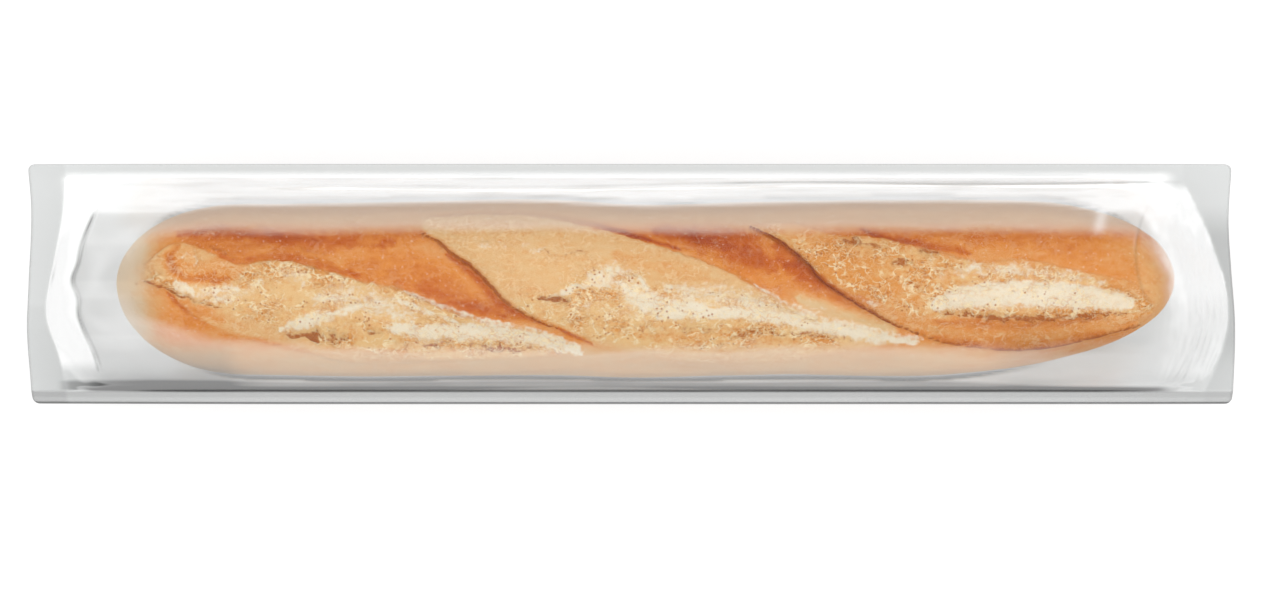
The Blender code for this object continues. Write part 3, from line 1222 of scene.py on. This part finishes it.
@dataclass
class FilmBag:
    """Two panels of clear film, welded together along their edges and closed at the trim."""

    unit: float
    loaf: Loaf
    half_length: float = 171.0
    half_width: float = 34.05
    hem: float = 3.7
    high_hem: float = 22.0  # height of the weld on the +Y side
    low_hem: float = 15.5  # and of the one on the -Y side
    high_tilt: float = 0.15  # how steeply the +Y hem hangs outside its weld
    low_tilt: float = 1.1
    end_droop: float = 4.0
    peak: float = 40.0
    fullness: float = 1.7  # of the -Y side, where 2 is an ellipse
    straight: float = 0.4  # share of the +Y side that slopes evenly
    sheet: float = 0.1
    bead: float = 0.24
    side_gap: float = 1.3  # that the back panel keeps beside the loaf
    corner: float = 1.8  # radius of the bag's corners
    rows: int = 400
    columns: int = 122
    noise: Noise = field(default_factory=lambda: Noise(5))
    left_rise: Line = Line(
        ((0, 0), (7.6, 0.27), (9.2, 0.33), (22, 0.67), (34, 0.91), (44, 1), (60, 1))
    )
    right_rise: Line = Line(
        ((0, 0), (14, 0.52), (17, 0.6), (30, 0.83), (45, 0.96), (60, 1), (80, 1))
    )
    left_trim: Line = Line(((-34, -171.5), (-13, -172.1), (0, -171.4), (24, -170.4), (34, -171.2)))
    right_trim: Line = Line(((-34, 171.2), (-10, 171.5), (5, 170.2), (18, 169.3), (34, 170)))
    left_seal: Line = Line(
        ((-30, -161), (-19.5, -162.5), (-8.5, -165.6), (7.5, -164), (30, -160.5))
    )
    right_seal: Line = Line(
        (
            (-30, 163), (-21.5, 166.3), (-14.5, 168.3), (-1.5, 169), (10.5, 166.3), (18.5, 163.5),
            (30, 157),
        )
    )
    left_crease: Line = Line(
        (
            (-30, -150), (-19.1, -152), (-13.1, -154.3), (-8, -155.9), (-4.2, -155.9),
            (1.4, -158.1), (6, -156.7), (10.8, -156), (15.1, -154.7), (19.8, -152.8), (30, -151),
        )
    )

    def _near_ends(self, x: Array) -> Array:
        """How dense the grid's lines are at each x."""
        trim = 9.0 * bump(np.abs(x), self.half_length, 1.0)
        return 1.0 + 3.0 * ramp(np.abs(x), 120.0, 148.0) + trim

    def _near_sides(self, y: Array) -> Array:
        """How dense the grid's lines are at each y."""
        trim = 9.0 * bump(np.abs(y), self.half_width, 1.0)
        return 1.0 + 2.0 * ramp(np.abs(y), 22.0, 30.0) + trim

    def plan(self) -> tuple[Array, Array]:
        """The grid's plan positions, closer together at the ends, the hems and the trim."""
        x = graded(-self.half_length, self.half_length, self.rows - 1, self._near_ends)
        y = graded(-self.half_width, self.half_width, self.columns - 1, self._near_sides)
        return np.meshgrid(x, y, indexing="ij")

    def level(self, x: Array, y: Array) -> Array:
        """Height of the welds, which droop towards both ends and wander a little."""
        half = self.half_width - self.hem
        hang = np.clip((np.abs(x) - 110.0) / 61.0, 0.0, 1.0) ** 2
        wander = 0.35 * self._rough(x, y * 0.3, 45.0, 2)
        share = np.clip((y + half) / (2 * half), 0.0, 1.0)
        level = self.low_hem + (self.high_hem - self.low_hem) * share
        past_high, past_low = np.maximum(y - half, 0.0), np.maximum(-y - half, 0.0)
        outside = self.high_tilt * past_high + self.low_tilt * past_low
        corner = 4.5 * ramp(-x, 95.0, 160.0) * ramp(-y, 8.0, 30.0)
        return level - outside - self.end_droop * hang - corner + wander

    def _rough(self, x: Array, y: Array, size: float, octaves: int) -> Array:
        """Noise over the bag's plan, with lumps of about that size."""
        return self.noise.rough(x, y, 0.0 * x, size, octaves)

    def _across(self, y: Array, side: float) -> Array:
        """The pillow's section: 0 on the side welds and 1 along the middle.

        The -Y side is a quarter of a superellipse. The +Y side slopes evenly from its weld, then
        bends over as a parabola.
        """
        share = np.clip(1.0 - np.abs(y) / (self.half_width - self.hem), 0.0, 1.0)
        return np.where(y > 0.0, eased(share, self.straight), rounded(share, side))

    def _ends(self, x: Array, y: Array) -> Array:
        """The pillow's rise from each end weld inwards: 0 on the welds and 1 in the middle."""
        left = self.left_rise.at(x - self.left_seal.at(y))
        return left * self.right_rise.at(self.right_seal.at(y) - x)

    def front(self, x: Array, y: Array) -> Array:
        """Height of the front panel: the pillow, kept clear of the loaf, with its creases."""
        level = self.level(x, y)
        full = self._across(y, self.fullness) * self._ends(x, y)
        middle = (self.low_hem + self.high_hem) / 2
        height = level + (self.peak - middle) * full
        top, _, share = self.loaf.sides(x, y)
        over_loaf = np.where(share < 1.0, top + 1.1, 0.0)
        height = smooth_maximum(height, over_loaf, 2.5)
        details = self._left_end(x, y) + self._right_end(x, y) + self._folds(x, y)
        return np.minimum(height + ramp(full, 0.0, 0.05) * details, self.peak + 0.3)

    def _left_end(self, x: Array, y: Array) -> Array:
        """A shoulder over the left weld, a crease inside it, and flat facets up to the loaf."""
        crease = x - self.left_crease.at(y)
        inside = within(y, -22.0, 21.0, 4.0)
        shoulder = 0.4 * bump(crease, -3.4, 2.6)
        valley = -0.5 * bump(crease, 0.3, 0.6) * inside
        facets = 0.35 * np.sin(y / 3.1 + 0.7) * bump(crease, 8.0, 6.0)
        return shoulder + valley + facets

    def _right_end(self, x: Array, y: Array) -> Array:
        """Fine wrinkles fanning from the right weld, and a fold round the loaf's right end."""
        inwards = self.right_seal.at(y) - x
        near = bump(inwards, 7.0, 8.0)
        wrinkles = 0.07 * np.sin((inwards + self._bend(x, y)) * 2.6) * near
        patchy = 0.5 + 0.8 * self._rough(x + 40.0, y, 9.0, 2)
        wrinkles = wrinkles * within(y, -22.0, -4.0, 5.0) * patchy
        crumple = 0.35 * self._rough(x, y * 0.8, 8.0, 3) * near
        ring = -0.06 * bump(self._arc(x, y), 0.0, 0.6) * within(y, -5.0, 20.0, 4.0)
        return wrinkles + crumple + ring

    def _bend(self, x: Array, y: Array) -> Array:
        """How far the fine wrinkles beside the right weld wander along the bag."""
        return 1.3 * self._rough(x, y * 0.4, 12.0, 2)

    @staticmethod
    def _arc(x: Array, y: Array) -> Array:
        """How far each point is past the curved fold round the loaf's right end."""
        return x - 141.6 - 0.022 * (y - 7.0) ** 2

    def _folds(self, x: Array, y: Array) -> Array:
        """Long shallow folds that run along the sides between the hems and the loaf."""
        high_line = 27.4 + 1.2 * ramp(x, 0.0, 90.0) + 0.3 * np.sin(x / 23.0)
        high = 0.45 * bump(y - high_line, 0.0, 0.7) * within(x, -90.0, 136.0, 25.0)
        low = 0.25 * bump(y + 29.0, 0.0, 0.6)
        waves = 0.25 * self._rough(x * 0.25, y, 6.0, 2) * ramp(np.abs(y), 10.0, 22.0)
        return high + low + waves

    def welds_and_shade(self, x: Array, y: Array) -> Array:
        """How much darker the film is made, from 0 to 1: its thicker welds, and painted shade in
        folds, facets and bands.
        """
        ends = self._left_end_shade(x, y) + self._right_end_shade(x, y)
        sides = self._low_band_shade(x, y) + self._low_corner_shade(x, y) + self._ridge_shade(x, y)
        return np.clip(self._welds(x, y) + ends + sides, 0.0, 1.0)

    def _welds(self, x: Array, y: Array) -> Array:
        """How much darker the end welds, the lower hem and the trimmed ends are: their thicker
        film, with painted shade on the lower hem and in steps on both end seals.
        """
        left = ramp(self.left_seal.at(y) - x, -0.5, 0.6)
        left = left * (0.11 - 0.05 * ramp(y, -6.6, -5.8))
        right = ramp(x - self.right_seal.at(y), -0.5, 0.8)
        right = right * (1.0 - 0.75 * ramp(-y, 29.6, 30.6))
        right = right * (0.28 - 0.25 * ramp(y, 12.0, 24.0) - 0.13 * ramp(-y, 14.0, 26.0))
        # painted shade on the lower hem, and a dark line along its outer edge
        hem = 0.37 * ramp(-y, 30.2, 30.6) - 0.13 * ramp(-y, 31.8, 32.5)
        hem = hem + 0.4 * ramp(-y, 33.2, 33.7)
        trim = 0.1 * ramp(np.abs(x), 170.2, 170.8)
        return left + right + hem + trim

    def _left_end_shade(self, x: Array, y: Array) -> Array:
        """Painted shade in the crease inside the left weld, and on the facets beside it."""
        crease = x - self.left_crease.at(y)
        inside = within(y, -19.0, 18.0, 3.0)
        fold = 0.66 * bump(crease, 0.3, 0.4) * inside * (0.65 + 0.35 * np.sin(y / 2.3))
        facets = 0.14 * ramp(crease, 0.3, 1.2) * (1.0 - ramp(x, -146.0, -128.0)) * inside
        steps = 0.5 * ramp(y, 1.0, 1.5) - 0.9 * ramp(y, 10.0, 12.5) + 0.7 * ramp(-y, 4.0, 4.5)
        return fold + facets * (0.7 + steps - 0.6 * ramp(-y, 14.0, 14.6))

    def _right_end_shade(self, x: Array, y: Array) -> Array:
        """Painted shade in the fold round the loaf's right end, and in lines along the wrinkles
        beside it.
        """
        ring = 0.16 * bump(self._arc(x, y), 0.0, 0.5) * within(y, -4.0, 19.0, 4.0)
        inwards = self.right_seal.at(y) - x
        lines = ramp(np.sin((inwards + self._bend(x, y)) * 3.1), 0.1, 1.0)
        patchy = ramp(self._rough(x, y, 7.0, 2), -0.5, 0.2)
        hatch = 0.15 * lines * bump(inwards, 7.5, 6.0) * within(y, -25.0, -5.0, 4.0) * patchy
        return ring + hatch

    @staticmethod
    def _low_band_shade(x: Array, y: Array) -> Array:
        """Painted shade in a dark band on the film between the loaf and the lower hem."""
        start = 27.5 + 1.3 * ramp(x, 70.0, 135.0) + 0.3 * np.sin(x / 17.0)
        stop = 30.2 - 1.0 * bump(x, -10.0, 42.0)
        bank = ramp(-y, start - 0.7, start + 0.5) * (1.0 - ramp(-y, stop - 0.5, stop + 0.2))
        strength = 0.44 + 0.05 * np.sin(x / 13.0) + 0.07 * bump(x, -10.0, 60.0)
        return bank * within(x, -159.0, 148.0, 5.0) * strength

    @staticmethod
    def _low_corner_shade(x: Array, y: Array) -> Array:
        """Painted shade on the film on the lower side of both ends of the loaf."""
        corner = ramp(x, -166.0, -144.0) * (1.0 - ramp(x, -122.0, -100.0))
        slack = 0.3 * ramp(-y, 21.5, 28.0) * corner
        slack = slack + 0.15 * ramp(-y, 14.0, 22.0) * within(x, -150.0, -116.0, 7.0)
        slack = slack + 0.13 * ramp(-y, 10.0, 18.0) * within(x, 112.0, 152.0, 14.0)
        return slack * (1.0 - ramp(-y, 30.0, 30.5))

    @staticmethod
    def _ridge_shade(x: Array, y: Array) -> Array:
        """A thin line of painted shade that runs along the band beside the loaf."""
        line = 27.6 + 1.1 * ramp(x, -60.0, 70.0) + 0.35 * np.sin(x / 21.0)
        ridge = bump(y - line, 0.0, 0.36) * within(x, -70.0, 138.0, 22.0)
        return ridge * (0.07 + 0.33 * ramp(x, -10.0, 90.0))

    def painted_sheen(self, x: Array, y: Array) -> Array:
        """Painted sheen: where the film is made to mirror more, for painted highlights: 0 to 1."""
        return np.clip(self._sheen_ends(x, y) + self._sheen_side(x, y), 0.0, 1.0)

    def _sheen_ends(self, x: Array, y: Array) -> Array:
        """Painted sheen inside the left weld, inside the right one and at the left tip."""
        crease = x - self.left_crease.at(y)
        left = ramp(x - self.left_seal.at(y), -0.3, 0.5) * (1.0 - ramp(crease, -0.9, -0.2))
        left = left * within(y, -21.0, 28.0, 4.0)
        inwards = self.right_seal.at(y) - x
        ragged = 1.6 * self._rough(x, y, 5.0, 3)
        right = ramp(inwards + 0.4 * ragged, -0.2, 0.5) * (1.0 - ramp(inwards + ragged, 13.0, 20.0))
        right = right * within(y, -24.0, 26.0, 3.0) * (0.32 + 0.5 * ramp(y, -12.0, 0.0))
        tip = 0.3 * within(x, -147.0, -142.0, 10.0) * within(y, -17.0, 19.0, 5.0)
        return left + right + tip

    def _sheen_side(self, x: Array, y: Array) -> Array:
        """Painted sheen in the band above the loaf, and in two painted glints at its right end."""
        _, _, share = self.loaf.sides(x, y)
        beside = ramp(share, 0.93, 1.0) * within(y, 21.5, 30.2, 2.4)
        streak = 1.0 - 0.3 * ramp(self._rough(x * 0.06, y, 1.6, 2), 0.0, 0.8)
        band = beside * within(x, -157.0, 150.0, 6.0) * streak * (1.0 - 2.4 * self._ridge_shade(x, y))
        glints = bump(x - 126.5 - 0.3 * y, 0.0, 1.8) + bump(x - 156.0 + 0.5 * y, 0.0, 1.6)
        return band + glints * within(y, 16.0, 27.0, 3.0) * 0.6

    def back(self, x: Array, y: Array) -> Array:
        """Height of the back panel, which hangs from the welds and lies flat under the loaf."""
        level = self.level(x, y)
        drop = (self.high_hem + 2.0) * self._across(np.abs(y), 2.0) * self._ends(x, y)
        _, under, share = self.loaf.sides(x, y - self.side_gap * np.clip(y, -1.0, 1.0))
        below_loaf = np.where(share < 1.0, under - 0.6, 60.0)
        return np.maximum(-smooth_maximum(drop - level, -below_loaf, 2.5), 0.15)

    def _wave(self, x: Array, y: Array) -> Array:
        """How far the plan shifts along the bag, for its wandering trim and rounded corners."""
        past = np.clip(np.abs(y) - self.half_width + self.corner, 0.0, self.corner)
        cut = self.corner - np.sqrt(self.corner**2 - past**2)
        wave = ramp(-x, 120.0, 171.0) * (self.left_trim.at(y) + self.half_length)
        wave = wave + ramp(x, 120.0, 171.0) * (self.right_trim.at(y) - self.half_length)
        return wave - np.sign(x) * cut * ramp(np.abs(x), 160.0, 171.0)

    def build(self, finish: bpy.types.Material) -> bpy.types.Object:
        """Makes the bag: both panels on one grid, joined round the trimmed edge.

        Each panel is half a sheet away from the welds, and swells to a small bead at the trim.
        """
        x, y = self.plan()
        rim = (x <= x.min()) | (x >= x.max()) | (y <= y.min()) | (y >= y.max())
        inwards = np.minimum(self.half_length - np.abs(x), self.half_width - np.abs(y))
        half_sheet = np.where(rim, 0.0, self.sheet + self.bead * bump(inwards, 0.25, 0.22))
        back = self.back(x, y)
        front = np.maximum(self.front(x, y), back)
        wave = self._wave(x, y)
        upper = np.stack([x + wave, y, front + half_sheet], axis=-1)
        lower = np.stack([x + wave, y, np.maximum(back - half_sheet, 0.05)], axis=-1)
        rows, columns = x.shape
        count = rows * columns
        under = np.arange(count).reshape(rows, columns) + count
        under[rim] = np.arange(count).reshape(rows, columns)[rim]
        faces = grid_faces(rows, columns, wrap=False)
        lower_faces = under.ravel()[faces][:, ::-1]
        points = np.concatenate([upper.reshape(-1, 3), lower.reshape(-1, 3)])
        used, compact = np.unique(np.concatenate([faces, lower_faces]), return_inverse=True)
        looks = {"welds_and_shade": self.welds_and_shade(x, y), "painted_sheen": self.painted_sheen(x, y)}
        shares = {
            name: np.concatenate([share.ravel(), np.zeros(count)])[used]
            for name, share in looks.items()
        }
        return new_piece(
            "film_bag", points[used] * self.unit, compact.reshape(-1, 4), finish, shares
        )


# ---------------------------------------------------------------- the studio


@dataclass(frozen=True)
class Lamp:
    """A soft rectangular lamp that looks at a point near the pack."""

    name: str
    place: Colour
    size: tuple[float, float]
    power: float
    target: Colour = (0.0, 0.0, 0.02)

    def light(self) -> None:
        """Adds the lamp to the scene."""
        data = bpy.data.lights.new(self.name, "AREA")
        data.shape = "RECTANGLE"
        data.size, data.size_y = self.size
        data.energy = self.power
        lamp = bpy.data.objects.new(self.name, data)
        bpy.context.scene.collection.objects.link(lamp)
        way = np.array(self.target) - np.array(self.place)
        flat = math.hypot(way[0], way[1])
        lamp.location = self.place
        lamp.rotation_euler = (math.atan2(flat, -way[2]), 0.0, math.atan2(-way[0], way[1]))
        lamp.visible_camera = False


@dataclass
class Studio:
    """A pale table under soft lamps, and a camera that looks straight down on the pack."""

    lens: float = 135.0
    sensor: float = 36.0
    view_width: float = 0.3595  # metres across the picture
    view_middle: Point = (0.0009, -0.0058)
    view_height: float = 0.02  # of the level that the width is measured at
    floor_size: float = 60.0
    lamps: tuple[Lamp, ...] = (
        Lamp("key_front", (-0.2, -0.55, 1.3), (1.6, 0.7), 3.0),
        Lamp("fill_back", (0.4, 0.9, 1.0), (1.4, 0.6), 1.2),
    )

    def build(self) -> None:
        """Makes the table, the lamps, the world and the camera."""
        self._table()
        for lamp in self.lamps:
            lamp.light()
        self._world()
        self._camera()
        view = bpy.context.scene.view_settings
        view.view_transform = "Standard"

    def _table(self) -> None:
        """A very large flat sheet just under the pack."""
        half = self.floor_size / 2
        corners = [(-half, -half, 0.0), (half, -half, 0.0), (half, half, 0.0), (-half, half, 0.0)]
        mesh = bpy.data.meshes.new("table")
        mesh.from_pydata(corners, [], [(0, 1, 2, 3)])
        mesh.materials.append(FloorFinish().material())
        table = bpy.data.objects.new("table", mesh)
        bpy.context.scene.collection.objects.link(table)

    @staticmethod
    def _world() -> None:
        """Light all round: pale at the horizon and brighter overhead."""
        world = bpy.data.worlds.new("pale_room")
        bpy.context.scene.world = world
        world.use_nodes = True
        tree = world.node_tree
        tree.nodes.clear()
        coordinates = tree.nodes.new("ShaderNodeTexCoord")
        parts = tree.nodes.new("ShaderNodeSeparateXYZ")
        band = tree.nodes.new("ShaderNodeValToRGB")
        band.color_ramp.elements[0].position = 0.05
        band.color_ramp.elements[0].color = (1.04, 1.04, 1.04, 1.0)
        band.color_ramp.elements[1].position = 0.6
        band.color_ramp.elements[1].color = (1.48, 1.48, 1.48, 1.0)
        background = tree.nodes.new("ShaderNodeBackground")
        output = tree.nodes.new("ShaderNodeOutputWorld")
        tree.links.new(coordinates.outputs["Generated"], parts.inputs[0])
        tree.links.new(parts.outputs["Z"], band.inputs[0])
        tree.links.new(band.outputs[0], background.inputs["Color"])
        tree.links.new(background.outputs[0], output.inputs[0])

    def _camera(self) -> None:
        """A long lens straight above, with +Y at the top of the picture."""
        data = bpy.data.cameras.new("camera")
        data.lens = self.lens
        data.sensor_width = self.sensor
        camera = bpy.data.objects.new("camera", data)
        bpy.context.scene.collection.objects.link(camera)
        distance = self.view_width * self.lens / self.sensor
        camera.location = (*self.view_middle, self.view_height + distance)
        data.clip_start, data.clip_end = 0.01, 100.0
        bpy.context.scene.camera = camera


def main() -> None:
    """Builds the loaf, the film round it and the studio, and reports each piece."""
    logging.basicConfig(level=logging.INFO, format="%(name)s: %(message)s")
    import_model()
    low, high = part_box(PACK_NODE)
    unit = (high.x - low.x) / BAG_LENGTH

    loaf = Loaf(unit)
    bag = FilmBag(unit, loaf)
    bread = loaf.build(CrustFinish().material(), bag.front)
    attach(bread, BODY)
    LOG.info("loaf: %d faces", len(bread.data.polygons))

    film = bag.build(FilmFinish().material())
    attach(film, BODY)
    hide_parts(PACK_NODE)
    LOG.info("film bag: %d faces", len(film.data.polygons))

    Studio().build()


if __name__ == "__main__":
    main()
